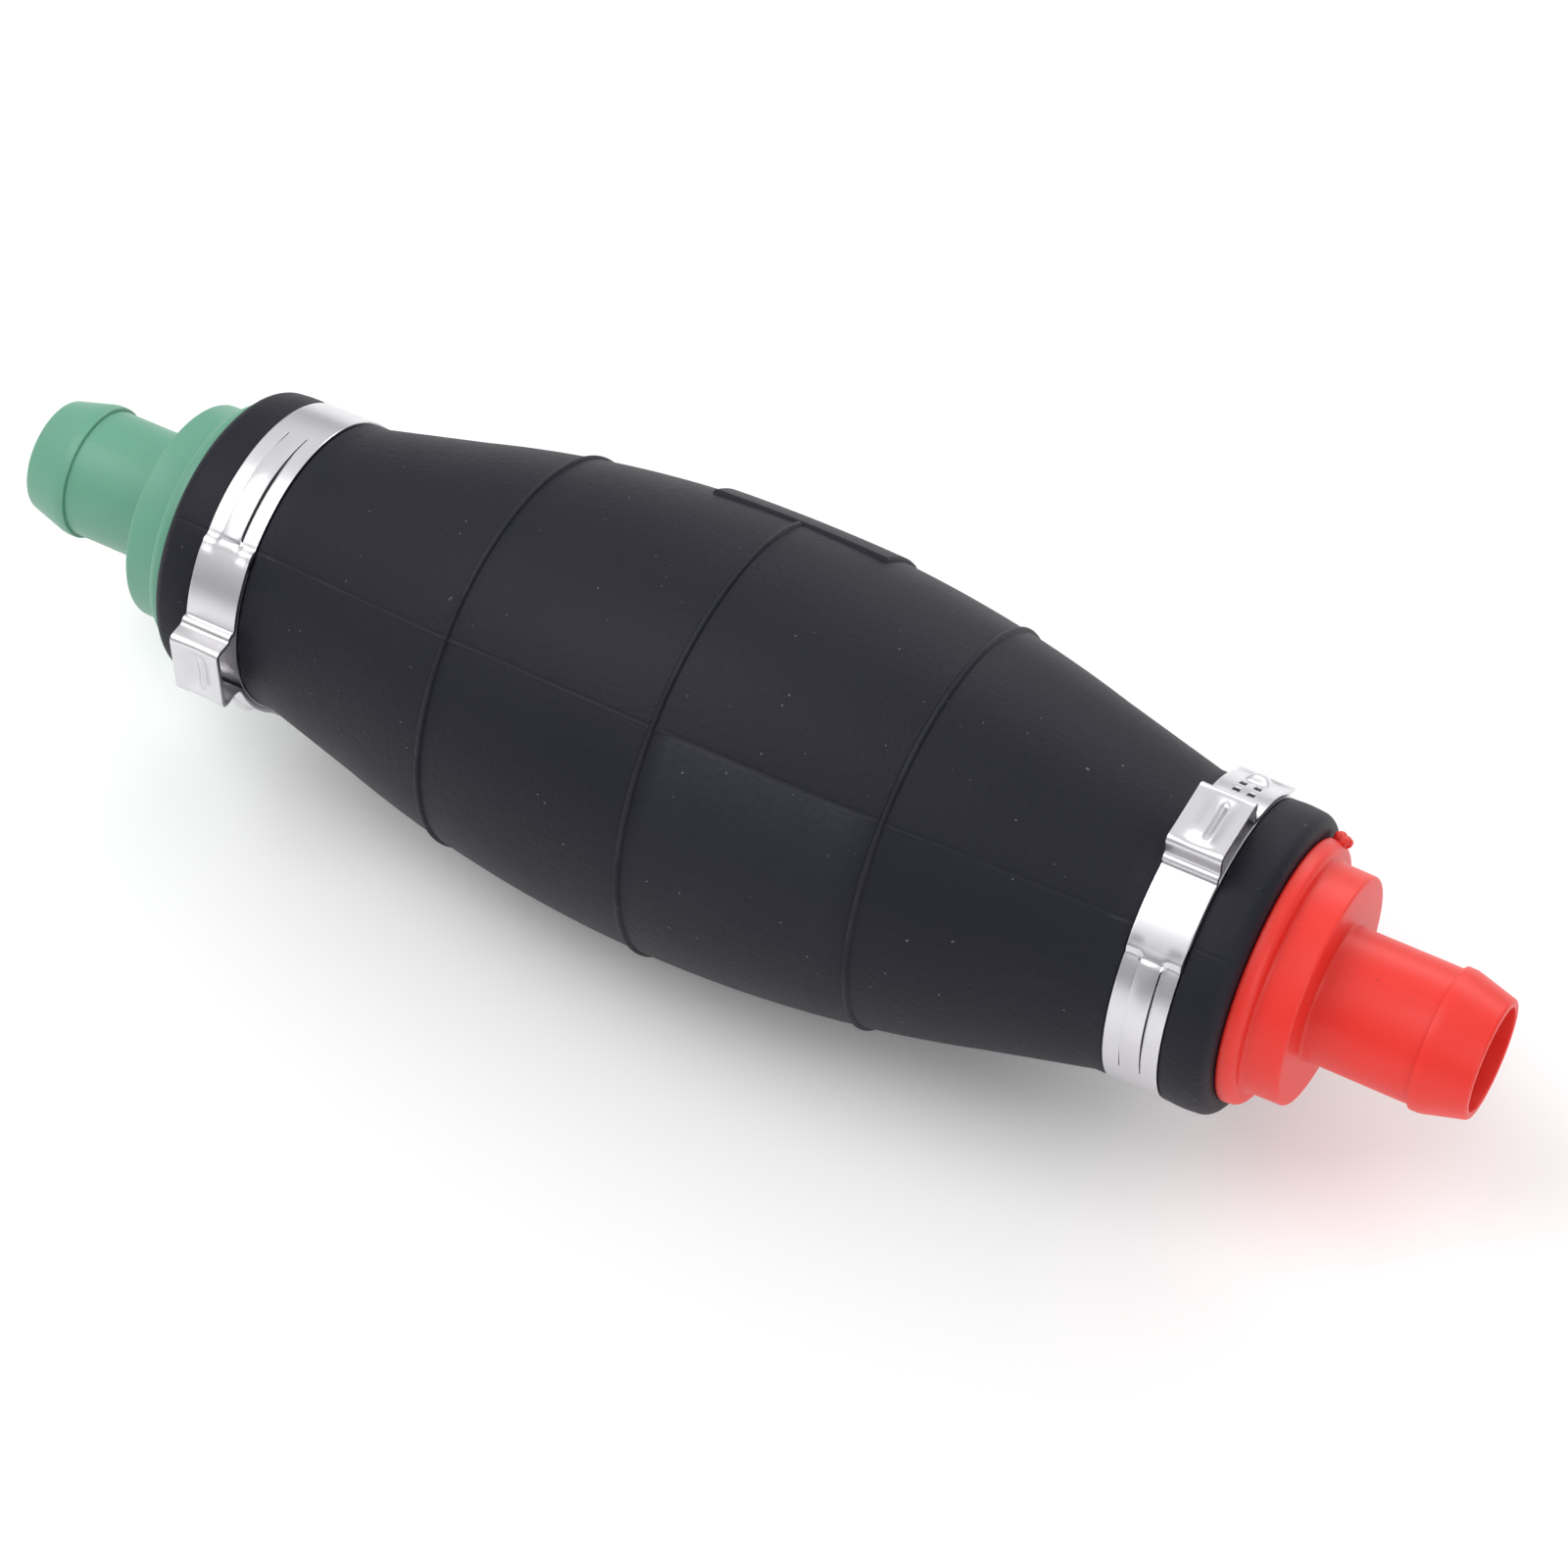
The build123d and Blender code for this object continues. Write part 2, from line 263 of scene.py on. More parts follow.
# %% Rolling lines: what the mill leaves along a steel strip
def make_rolling():
    tree, start, end = new_group(
        "rolling_lines", [("Scale", 2500.0), ("Length", 3.0)], [("Lines", "NodeSocketFloat")])
    place = add(tree, "ShaderNodeTexCoord")
    split = add(tree, "ShaderNodeSeparateXYZ")
    angle = add(tree, "ShaderNodeMath", operation="ARCTAN2")
    along = add(tree, "ShaderNodeMath", operation="MULTIPLY")
    across = add(tree, "ShaderNodeMath", operation="MULTIPLY")
    merge = add(tree, "ShaderNodeCombineXYZ")
    lines = add(tree, "ShaderNodeTexNoise", inputs={"Scale": 1.0, "Detail": 4.0, "Roughness": 0.65})
    join(tree,
         (place.outputs["Object"], split.inputs["Vector"]), (split.outputs["Y"], angle.inputs[0]),
         (split.outputs["Z"], angle.inputs[1]), (angle.outputs[0], along.inputs[0]),
         (start.outputs["Length"], along.inputs[1]), (split.outputs["X"], across.inputs[0]),
         (start.outputs["Scale"], across.inputs[1]), (across.outputs[0], merge.inputs["X"]),
         (along.outputs[0], merge.inputs["Y"]), (merge.outputs["Vector"], lines.inputs["Vector"]),
         (lines.outputs["Fac"], end.inputs["Lines"]))
    return tree


grain = make_grain()
dust = make_dust()
scuffs = make_scuffs()
rolling = make_rolling()
print("node groups:", [g.name for g in (grain, dust, scuffs, rolling)])

# %% [markdown]
# ## Materials
# Each finish mixes two or three colours by those masks, then lets the same masks vary its roughness, and
# a bump gives the grain that a close look shows. A value that is the same all over sits on the shader's
# own socket.

# %% Material helpers
def new_material(name, **sockets):
    """Material with a Principled shader whose plain values are set on its own sockets."""
    material = bpy.data.materials.new(name)
    material.use_nodes = True
    tree = material.node_tree
    shader = tree.nodes["Principled BSDF"]
    for label, value in sockets.items():
        shader.inputs[label.replace("_", " ")].default_value = value
    return material, tree, shader


def use_group(tree, group, **values):
    node = tree.nodes.new("ShaderNodeGroup")
    node.node_tree = group
    for label, value in values.items():
        node.inputs[label].default_value = value
    return node


def two_colours(tree, mask, first, second):
    """Colour that goes from first to second with the mask. first may be a colour or a socket."""
    mix = tree.nodes.new("ShaderNodeMix")
    mix.data_type = "RGBA"
    join(tree, (mask, mix.inputs["Factor"]))
    for slot_name, value in (("A", first), ("B", second)):
        socket = [s for s in mix.inputs if s.name == slot_name and s.type == "RGBA"][0]
        if isinstance(value, tuple):
            socket.default_value = (*value, 1.0)
        else:
            join(tree, (value, socket))
    return [s for s in mix.outputs if s.type == "RGBA"][0]


def level(tree, mask, low, high):
    """The mask's 0 to 1 turned into low to high."""
    node = add(tree, "ShaderNodeMapRange", inputs={"To Min": low, "To Max": high})
    join(tree, (mask, node.inputs["Value"]))
    return node.outputs["Result"]


def bump(tree, height, shader, strength, distance):
    node = add(tree, "ShaderNodeBump", inputs={"Strength": strength, "Distance": distance})
    join(tree, (height, node.inputs["Height"]), (node.outputs["Normal"], shader.inputs["Normal"]))


# %% [markdown]
# ## Rubber
# The bulb's rubber is nearly black with a slight blue cast, dull, finely grained, dusty, and rubbed grey
# where it stands out. The rings' crests are also painted lighter as a painted highlight. One dark colour
# would hide its form, so the rubbed places and the painted highlight come from a mark that the mesh carries,
# and the dust comes from a group. A low specular level keeps it dull under wide lamps.

# %% Black rubber
def black_rubber():
    material, tree, shader = new_material("black_rubber", Roughness=0.55, Specular_IOR_Level=0.22)
    skin = use_group(tree, grain, Scale=1300.0, Spread=45.0)
    specks = use_group(tree, dust, Scale=620.0, Size=0.085, Amount=0.45)
    rubs = use_group(tree, scuffs, Scale=70.0, From=0.55, To=0.78)
    # The mesh's mark covers rubbed places and a painted highlight on the rings' crests.
    rub_and_sheen_layer = add(tree, "ShaderNodeAttribute", attribute_name="rub_and_sheen")
    uneven = add(tree, "ShaderNodeMath", operation="MULTIPLY")
    join(tree, (rub_and_sheen_layer.outputs["Fac"], uneven.inputs[0]),
         (level(tree, skin.outputs["Height"], 0.1, 1.2), uneven.inputs[1]))
    base = two_colours(tree, skin.outputs["Mottle"], (0.0062, 0.0064, 0.0128), (0.0102, 0.0104, 0.0176))
    rubbed = two_colours(tree, level(tree, rubs.outputs["Mask"], 0.0, 0.35), base, (0.024, 0.024, 0.030))
    # Lighter colour by that mark: rubbed grey, and a painted highlight on the rings' crests.
    rub_and_sheen_colour = two_colours(tree, uneven.outputs[0], rubbed, (0.034, 0.034, 0.046))
    dusty = two_colours(tree, level(tree, specks.outputs["Mask"], 0.0, 0.75), rub_and_sheen_colour, (0.16, 0.155, 0.15))
    join(tree, (dusty, shader.inputs["Base Color"]),
         (level(tree, skin.outputs["Mottle"], 0.46, 0.62), shader.inputs["Roughness"]))
    bump(tree, skin.outputs["Height"], shader, 0.55, 0.00022)
    return material


# %% [markdown]
# ## Tail plastic
# The tails are satin, and thick enough for light to sink in a little, which lifts their shadows.
# Subsurface does that without making them clear. Both colours share one function, as both tails share one
# kind of plastic.

# %% Coloured plastic for the tails
def tail_plastic(name, dark, light, speck):
    material, tree, shader = new_material(
        name, Roughness=0.42, Specular_IOR_Level=0.45, Subsurface_Weight=0.30, Subsurface_Scale=0.004)
    skin = use_group(tree, grain, Scale=700.0, Spread=60.0)
    specks = use_group(tree, dust, Scale=300.0, Size=0.10, Amount=0.965)
    base = two_colours(tree, skin.outputs["Mottle"], dark, light)
    marked = two_colours(tree, level(tree, specks.outputs["Mask"], 0.0, 0.6), base, speck)
    join(tree, (marked, shader.inputs["Base Color"]),
         (level(tree, skin.outputs["Mottle"], 0.36, 0.50), shader.inputs["Roughness"]))
    bump(tree, skin.outputs["Height"], shader, 0.18, 0.00006)
    return material


# %% [markdown]
# ## Steel
# Rolled strip keeps fine lines along its length and reflects softly. The lines follow the angle about the
# axis, so they run round the clamp and don't cross it, and they vary the roughness more than the colour.

# %% Stainless strip
def strip_steel():
    material, tree, shader = new_material("stainless_strip", Metallic=1.0, Roughness=0.30)
    mill = use_group(tree, rolling, Scale=2600.0, Length=4.0)
    smear = use_group(tree, grain, Scale=420.0, Spread=160.0)
    base = two_colours(tree, smear.outputs["Mottle"], (0.64, 0.63, 0.655), (0.76, 0.75, 0.77))
    join(tree, (base, shader.inputs["Base Color"]),
         (level(tree, mill.outputs["Lines"], 0.25, 0.35), shader.inputs["Roughness"]))
    bump(tree, mill.outputs["Lines"], shader, 0.03, 0.00002)
    return material


# %% [markdown]
# ## Inner finishes
# Natural acetal, nitrile rubber and drawn wire are hidden or seen down a bore, so one function with a
# fine grain serves all three.

# %% Finishes for what is inside
def inner_finish(name, dark, light, rough, metallic=0.0):
    material, tree, shader = new_material(name, Metallic=metallic, Roughness=rough)
    skin = use_group(tree, grain, Scale=1100.0, Spread=120.0)
    join(tree, (two_colours(tree, skin.outputs["Mottle"], dark, light), shader.inputs["Base Color"]),
         (level(tree, skin.outputs["Mottle"], rough - 0.08, rough + 0.08), shader.inputs["Roughness"]))
    bump(tree, skin.outputs["Height"], shader, 0.15, 0.00004)
    return material


# %% All the materials
rubber = black_rubber()
green = tail_plastic("green_plastic", (0.110, 0.310, 0.215), (0.130, 0.345, 0.245), (0.05, 0.13, 0.09))
red = tail_plastic("red_plastic", (0.72, 0.022, 0.014), (0.78, 0.032, 0.020), (0.36, 0.02, 0.015))
steel = strip_steel()
acetal = inner_finish("natural_acetal", (0.74, 0.73, 0.68), (0.82, 0.81, 0.77), 0.42)
nitrile = inner_finish("nitrile_seal", (0.010, 0.010, 0.011), (0.020, 0.020, 0.021), 0.5)
wire = inner_finish("spring_wire", (0.45, 0.45, 0.46), (0.62, 0.62, 0.63), 0.28, 1.0)
print("materials:", len(bpy.data.materials))


# %% Finishing a piece
def finish_piece(piece, material, slot_name, body, *nodes):
    """Give a new piece its material and the body it rides on, and hide the CAD nodes it stands for.
    slot_name is not used.
    """
    piece.data.materials.append(material)
    if body:
        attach(piece, body)
    if nodes:
        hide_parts(*nodes)
    return piece


# %% [markdown]
# ## The bulb
# The real bulb is blown or moulded in a two-part mould. Where the halves met there is a thin torn line of
# flash, and along one stretch the two sides don't quite meet and leave a low step. Three fine rings stand
# round the belly. A flat black shape with a bump map would lose these at its edges, so they are pushed out
# of the mesh. The bulb is four lengths that meet under its rings.

# %% Mould marks on the bulb
parting_angle = math.radians(47.8)
fine_step = 0.09 * MM
fine_reach = 1.6 * MM
flash_height = 0.06 * MM
flash_width = 0.10 * MM
flash_wander = 17 * MM
low_step_height = 0.13 * MM
low_step_start = (1.0 * MM, 3.5 * MM)
low_step_stop = (24 * MM, 29 * MM)
groove_depth = 0.05 * MM
groove_off = 0.30 * MM
groove_width = 0.18 * MM
torn_spots = ((0.3 * MM, 0.20 * MM), (28.8 * MM, 0.10 * MM), (-29.2 * MM, 0.08 * MM))
wall_margin = 2.2 * MM
print("parting line at", round(math.degrees(parting_angle), 1), "degrees")


def ripple(x, seed, size):
    """Smooth uneven line along x, about -1 to 1."""
    total = np.zeros_like(x)
    for k in range(1, 6):
        total = total + np.sin(x / size * k * 1.7 + seed * k * 2.1) / k
    return total / 1.6


def soft_step(value, low, high):
    t = np.clip((value - low) / (high - low), 0, 1)
    return t * t * (3 - 2 * t)


def off_line(radius, turn, line):
    """Distance round the wall from a line at this angle, in metres."""
    return ((turn - line + math.pi) % (2 * math.pi) - math.pi) * radius


def mould_marks(x, radius, turn):
    """Flash along both parting lines, and the low step beside the near one."""
    outside = np.where(radius > neck_bore + wall_margin, 1.0, 0.0)
    outside = outside * (radius > belly_height(np.abs(x)) - bulb_wall / 2)
    push = 0.0 * turn * x
    for line_angle, seed in ((parting_angle, 1.3), (parting_angle + math.pi, 4.1)):
        line = line_angle + ripple(x, seed, flash_wander) * 0.10 * MM / radius
        off = off_line(radius, turn, line)
        flash = flash_height * (1 + 0.55 * ripple(x, seed + 2, 4 * MM))
        push = push + flash * np.exp(-(off / flash_width) ** 2)
        if line_angle == parting_angle:
            stretch = soft_step(x, *low_step_start) * (1 - soft_step(x, *low_step_stop))
            low_side = soft_step(-off, -0.05 * MM, 0.30 * MM) * np.exp(-np.clip(-off, 0, None) / (7 * MM))
            push = push + low_step_height * stretch * low_side
            groove = np.exp(-((off - groove_off) / groove_width) ** 2)
            push = push - groove_depth * groove
            for place, size in torn_spots:
                push = push + size * np.exp(-((x - place) / (0.5 * MM)) ** 2 - (off / (0.35 * MM)) ** 2)
    under_pad = np.abs(turn - pad_angle) * radius < pad_half_width
    return (push - ring_height(x) * under_pad * (np.abs(x) < rib_width)) * outside


# %% Rubbed places and painted ring highlights on the bulb
# Weight of each mark. The crest weight lightens the rings' crests, partly as rub and partly as a painted
# highlight.
rub_and_sheen_weights = {"step": 0.75, "flash": 0.55, "band": 1.2, "crest_wear_and_sheen": 0.45}
band_rub_place = 58.2 * MM


def rub_and_sheen_marks(x, radius, turn):
    """Where the rubber is rubbed grey: the low step and the torn flash. The rings' crests are also made
    lighter, partly rub and partly a painted highlight.
    """
    off = off_line(radius, turn, parting_angle)
    stretch = soft_step(x, 1.0 * MM, 3.0 * MM) * (1 - soft_step(x, 25 * MM, 30 * MM))
    low_side = soft_step(-off, 0.0, 0.25 * MM) * np.exp(-np.clip(-off, 0, None) / (9 * MM))
    flash = np.exp(-(off / (0.12 * MM)) ** 2) * (0.35 + 0.65 * np.clip(ripple(x, 2.2, 5 * MM), 0, 1))
    near_band = np.exp(-((np.abs(x) - band_rub_place) / (1.1 * MM)) ** 2) * np.exp(-(off / (0.15 * MM)) ** 2)
    # Painted highlight: the rings' crests are made lighter, unevenly round the bulb. This is partly rub and
    # partly stands in for the light they catch.
    patchy = np.clip(0.7 + ripple(turn * 9 * MM, 5.1, 2 * MM), 0, 1)
    crest_wear_and_sheen = np.clip(ring_height(x) / rib_height, 0, 1) * patchy
    return np.clip(rub_and_sheen_weights["step"] * stretch * low_side + rub_and_sheen_weights["flash"] * flash
                   + rub_and_sheen_weights["band"] * near_band + rub_and_sheen_weights["crest_wear_and_sheen"] * crest_wear_and_sheen, 0, 1.5)


# %% Height of the bulb's wall and rings
def belly_height(x):
    """Distance of the bulb's outside from the axis, without rings."""
    arc = bulb_radius - belly_arc + np.sqrt(belly_arc ** 2 - np.minimum(x, belly_half) ** 2)
    side = bulb_radius - belly_arc + math.sqrt(belly_arc ** 2 - belly_half ** 2)
    cone = side + (neck_radius - side) * np.clip((x - belly_half) / (neck_start - belly_half), 0, 1)
    return np.where(x < belly_half, arc, cone)


def ring_height(x):
    total = 0.0 * x
    for place in rib_places:
        total = total + rib_height * np.sqrt(np.clip(1 - ((x - place) / rib_width) ** 2, 0, 1))
    return total


print("wall at the cone's foot", round(float(belly_height(belly_half)) / MM, 2), "mm from the axis")


# %% The bulb's outline and angles
ring_seam = rib_places[-1]
station_step = 0.9 * MM
swell_height = 0.12 * MM


def outside_stations():
    """Places along the outside, close together at the rings, the cone's foot and the band."""
    coarse = np.arange(0, neck_start - 0.5 * MM, station_step)
    fine = [p + d * MM for p in rib_places if p >= 0 for d in np.arange(-0.60, 0.61, 0.08)]
    kept = [x for x in coarse if all(abs(x - p) > 0.75 * MM for p in rib_places)]
    return sorted([x for x in kept + fine if x > 0] + [0.0, ring_seam])


def bulb_half_outline():
    outer = [(x, float(belly_height(x) + ring_height(np.array(x)))) for x in outside_stations()]
    low = band_middle - band_width / 2 - 0.2 * MM
    high = band_middle + band_width / 2 + 0.2 * MM
    neck = [(neck_start, neck_radius), (low, neck_radius), (low + 0.15 * MM, pinched_radius),
            (high - 0.15 * MM, pinched_radius), (high, neck_radius)]
    neck = rounded(neck, {1: 0.25 * MM, 4: 0.01 * MM}, 3)
    lip = [(bulb_end - lip_round + lip_round * math.cos(a),
            neck_radius - lip_round + lip_round * math.sin(a)) for a in np.radians(np.arange(90, -1, -10))]
    swell = [(high + (bulb_end - lip_round - high) * s,
              neck_radius + swell_height * math.sin(math.pi * s)) for s in np.linspace(0.08, 0.95, 7)]
    bore = [(bulb_end, neck_bore), (neck_start, neck_bore)]
    inner_places = sorted(list(np.arange(belly_half, 1 * MM, -2.0 * MM)) + [ring_seam, 0.0], reverse=True)
    inner = [(x, float(belly_height(x)) - bulb_wall) for x in inner_places]
    return outer + neck + swell + lip + bore + inner


def bulb_angles():
    """Even angles, with a fine fan at each parting line."""
    wide = list(even_angles(176))
    reach = fine_reach / bulb_radius
    lines = [parting_angle, parting_angle + math.pi]
    kept = [a for a in wide if all(abs(a - line) > reach * 1.3 for line in lines)]
    fan = [line + d for line in lines for d in np.arange(-reach, reach, fine_step / bulb_radius)]
    return sorted(kept + fan)


def mirrored(outline):
    return [(-x, radius) for x, radius in reversed(outline)]


# %% The bulb's four lengths
half = bulb_half_outline()
half_lengths = {"belly": [p for p in half if p[0] <= ring_seam],
                "neck": [p for p in half if p[0] >= ring_seam]}
bulb_lengths = {}
for part, outline in half_lengths.items():
    for end, own in (("outlet", outline), ("inlet", mirrored(outline))):
        name = "bulb_" + end + "_" + part
        bulb_lengths[end, part] = turned_mesh(name, own, bulb_angles(), mould_marks, rub_and_sheen_marks, 40)

# %% [markdown]
# ## The pad's way
# A hand presses the pad towards the axis. The squeeze joint gives that way, and the bulb's four lengths get
# their rubber and take the CAD bulb's place. The lengths stay as they are.

# %% The pad's way and the bulb's finish
squeeze = [j for j in frame["joints"] if j["name"] == "bulb_squeeze"][0]
pad_way = -Vector(squeeze["axis"])


for (end, part), piece in bulb_lengths.items():
    finish_piece(piece, rubber, "black_rubber", None, "bulb")
    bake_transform(piece)
print("pad faces", [round(v, 2) for v in pad_way])

# %% [markdown]
# ## The pad
# The pad is a low raised place moulded on the bulb, as high as the middle ring, which stops on both sides
# of it. Its ends stand a little prouder than its middle. It is built as a grid that follows the wall and
# drops at its rim.

# %% Pad mesh
pad_proud = 0.38 * MM
pad_end_rise = 0.17 * MM
pad_rim_round = 0.22 * MM


def pad_mesh():
    low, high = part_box("squeeze_pad")
    length = high.x - low.x
    width = 2 * pad_half_width
    across = pad_way.cross(Vector((1, 0, 0)))
    columns = 49
    rows = 27
    u = np.sin(np.linspace(-1, 1, columns) * math.pi / 2)[:, None]
    v = np.sin(np.linspace(-1, 1, rows) * math.pi / 2)[None, :]
    x = u * length / 2 + 0 * v
    y = v * width / 2 + 0 * u
    wall = np.sqrt(np.clip(belly_height(np.abs(x)) ** 2 - y ** 2, 0, None))
    edge = np.minimum(length / 2 - np.abs(x), width / 2 - np.abs(y))
    rise = np.sqrt(1 - np.clip(1 - edge / pad_rim_round, 0, 1) ** 2)
    height_here = pad_proud + pad_end_rise * (x / (length / 2)) ** 2
    top = wall - 0.10 * MM + (height_here + 0.10 * MM) * (0.35 + 0.65 * rise)
    points = []
    for height in (top, wall - 0.4 * MM):
        for i in range(columns):
            for j in range(rows):
                points.append(tuple(Vector((x[i, j], 0, 0)) + pad_way * height[i, j] + across * y[i, j]))
    faces = []
    count = columns * rows
    for i in range(columns - 1):
        for j in range(rows - 1):
            a = i * rows + j
            faces.append((a, a + 1, a + rows + 1, a + rows))
            faces.append((count + a, count + a + rows, count + a + rows + 1, count + a + 1))
    rim = [i * rows for i in range(columns)] + [(columns - 1) * rows + j for j in range(1, rows)]
    rim += [i * rows + rows - 1 for i in range(columns - 2, -1, -1)] + list(range(rows - 2, 0, -1))
    for a, b in zip(rim, rim[1:] + rim[:1]):
        faces.append((a, b, count + b, count + a))
    return mesh_object("pad_moulding", points, faces, 50)


pad = finish_piece(pad_mesh(), rubber, "black_rubber", "squeeze_pad", "squeeze_pad")
print("pad has", len(pad.data.vertices), "points")

# %% [markdown]
# ## The hose tails
# Both tails come from the same kind of tool: a flange that stops against the bulb's lip, a collar, a
# plain tube and one barb. They are turned from one outline, with every edge rounded as a moulding's is. A
# small torn stub shows where the plastic was fed in.

# %% Tail outline
flange_length = 2.4 * MM
collar_length = 4.8 * MM
tube_length = 13.6 * MM
tube_radius = 8.55 * MM
barb_radius = 9.0 * MM
barb_land = 1.3 * MM
tip_radius = 7.5 * MM
bore_radius = 6.55 * MM
collar_radius = 14.5 * MM
pocket_radius = 13.5 * MM
pocket_end = 71.0 * MM
throat_radius = 9.0 * MM
spigot_radius = 15.95 * MM
tail_lines = (75, 255)


def tail_outline():
    lip = bulb_end + 0.05 * MM
    flange_end = bulb_end + flange_length
    collar_end = flange_end + collar_length
    barb = collar_end + tube_length
    outline = [
        (fitting_start, pocket_radius), (fitting_start, spigot_radius), (lip, spigot_radius),
        (lip, flange_radius), (flange_end, flange_radius - 0.15 * MM), (flange_end, 14.85 * MM),
        (flange_end + 0.5 * MM, 14.6 * MM), (collar_end, collar_radius), (collar_end, 8.75 * MM),
        (collar_end + 0.6 * MM, tube_radius), (barb, tube_radius), (barb, barb_radius),
        (barb + barb_land, barb_radius), (fitting_tip, tip_radius), (fitting_tip, bore_radius),
        (collar_end - 3.0 * MM, bore_radius), (pocket_end, throat_radius), (pocket_end, pocket_radius)]
    corners = {1: 0.6 * MM, 3: 0.5 * MM, 4: 1.3 * MM, 5: 0.3 * MM, 7: 0.5 * MM, 8: 0.25 * MM, 11: 0.22 * MM,
               12: 0.5 * MM, 13: 0.45 * MM, 14: 0.25 * MM}
    return rounded(outline, corners)


def tail_marks(x, radius, turn):
    """Two fine lines where its mould parts."""
    push = 0.0 * turn * x
    for angle in tail_lines:
        off = off_line(radius, turn, math.radians(angle))
        push = push + 0.03 * MM * np.exp(-(off / (0.12 * MM)) ** 2)
    return push * (radius > 8.0 * MM) * (np.abs(x) > bulb_end)


def tail_angles():
    lines = [math.radians(angle) for angle in tail_lines]
    fan = [line + d for line in lines for d in np.radians(np.arange(-2, 2.01, 0.25))]
    wide = [a for a in even_angles(160) if all(abs(a - line) > math.radians(2.2) for line in lines)]
    return sorted(wide + fan)


# %% Both tails
tail = tail_outline()
outlet_tail = turned_mesh("outlet_tail", tail, tail_angles(), tail_marks, None, 38)
inlet_tail = turned_mesh("inlet_tail", mirrored(tail), tail_angles(), tail_marks, None, 38)
finish_piece(outlet_tail, red, "red_plastic", "root", "outlet_fitting")
finish_piece(inlet_tail, green, "green_plastic", "root", "inlet_fitting")

# %% Torn stub of the red tail's gate
stub_beads = ((74.4, 141.0, 17.0, 0.95), (75.1, 143.5, 16.9, 0.75), (74.9, 138.6, 16.8, 0.7))


def gate_stub():
    """A few uneven beads where the runner was broken off the flange's rim."""
    points = []
    faces = []
    for x, degrees, out, size in stub_beads:
        angle = math.radians(degrees)
        ball = bmesh.new()
        bmesh.ops.create_icosphere(ball, subdivisions=3, radius=size * MM)
        middle = Vector((x * MM, -out * MM * math.cos(angle), out * MM * math.sin(angle)))
        first = len(points)
        for vert in ball.verts:
            uneven = 1 + 0.16 * noise.noise(vert.co * 2600 + middle * 900)
            points.append(tuple(middle + vert.co * uneven))
        faces += [tuple(first + v.index for v in face.verts) for face in ball.faces]
        ball.free()
    return mesh_object("outlet_gate_stub", points, faces, 60)


stub = finish_piece(gate_stub(), red, "red_plastic", "root")
print("gate stub has", len(stub.data.vertices), "points")

# %% [markdown]
# ## The clamps
# A stepless ear clamp is one strip wrapped about one and a third times. From its outer end it lies over
# the inner layer, rises over the ear, comes down again and then steps through the layer's thickness,
# where its middle is lanced and raised so that the narrow inner end can slide under it. That is why it
# squeezes evenly all round. The strip is built as a sheet that follows a path round the neck. Where the
# strip is lanced, the sheet is really cut, and Solidify then gives both sides of every cut their
# thickness.

# %% The strip's path
strip = 0.6 * MM
inner_layer = pinched_radius + 0.05 * MM + strip / 2
outer_layer = inner_layer + strip + 0.01 * MM
ear_top = 23.3 * MM - strip / 2
ear_half = 4.75 * MM
ear_foot = 17.0
row_step = 0.30 * MM
least_gap = 0.12 * MM
end_lift = 0.5 * MM
print("strip layers at", round(inner_layer / MM, 2), "and", round(outer_layer / MM, 2), "mm")


def arc_path(radius_at, start, end):
    """Points of the path between two angles in degrees. radius_at gives the radius at an angle."""
    count = max(2, int(abs(math.radians(end - start)) * outer_layer / row_step))
    points = []
    for angle in np.linspace(start, end, count):
        r = radius_at(angle)
        points.append((r * math.sin(math.radians(angle)), r * math.cos(math.radians(angle)), angle))
    return points


def ear_path(foot):
    """The ear from its hook-side foot to its band-side foot, as (along, out, degrees)."""
    base = outer_layer * math.cos(math.radians(foot))
    reach = outer_layer * math.sin(math.radians(foot))
    corners = [
        (reach, base), (ear_half - 0.3 * MM, base + 0.55 * MM), (ear_half - 0.5 * MM, base + 2.0 * MM),
        (ear_half, ear_top), (-ear_half, ear_top - 0.05 * MM), (-ear_half, base + 1.85 * MM),
        (-ear_half - 0.15 * MM, base + 1.35 * MM), (-ear_half - 0.70 * MM, base + 1.10 * MM),
        (-ear_half - 0.65 * MM, base + 0.20 * MM), (-reach, base)]
    radii = {1: 0.8 * MM, 2: 0.5 * MM, 3: 1.3 * MM, 4: 0.75 * MM, 5: 0.25 * MM, 6: 0.25 * MM, 7: 0.3 * MM,
             8: 0.15 * MM}
    bent = rounded(corners, radii, 6)
    points = []
    for a, b in zip(bent, bent[1:]):
        gap = math.dist(a, b)
        for s in np.arange(0, 1, min(1.0, row_step / max(gap, 1e-9))):
            points.append((a[0] + (b[0] - a[0]) * s, a[1] + (b[1] - a[1]) * s))
    return [(t, out, math.degrees(math.atan2(t, out))) for t, out in points]


# %% Where things come along the strip, in degrees from the ear's middle
end_angle = 53.0
hook_angle = 43.0
window_angles = (27.5, 34.0)
step_angle = -45.5
raised_end = -98.0
tongue_end = -450.0
dent_reach = 13.5
step_run = 3.0


def layer_radius(angle):
    """Outer layer, then down a step to the inner layer, with the free outer end lifted a little."""
    r = outer_layer + end_lift * float(soft_step(angle, end_angle - 9, end_angle)) ** 2
    return r - strip * float(soft_step(-angle, -step_angle, -step_angle + step_run))


def strip_path():
    """The whole strip from its outer end. Points that fall together are left out, or faces would be flat."""
    path = arc_path(layer_radius, end_angle, ear_foot)
    path += ear_path(ear_foot)
    path += arc_path(layer_radius, -ear_foot, -60.0)
    path += arc_path(layer_radius, -60.0, tongue_end)
    spaced = path[:1]
    for point in path[1:]:
        if math.dist(point[:2], spaced[-1][:2]) > least_gap:
            spaced.append(point)
    return spaced


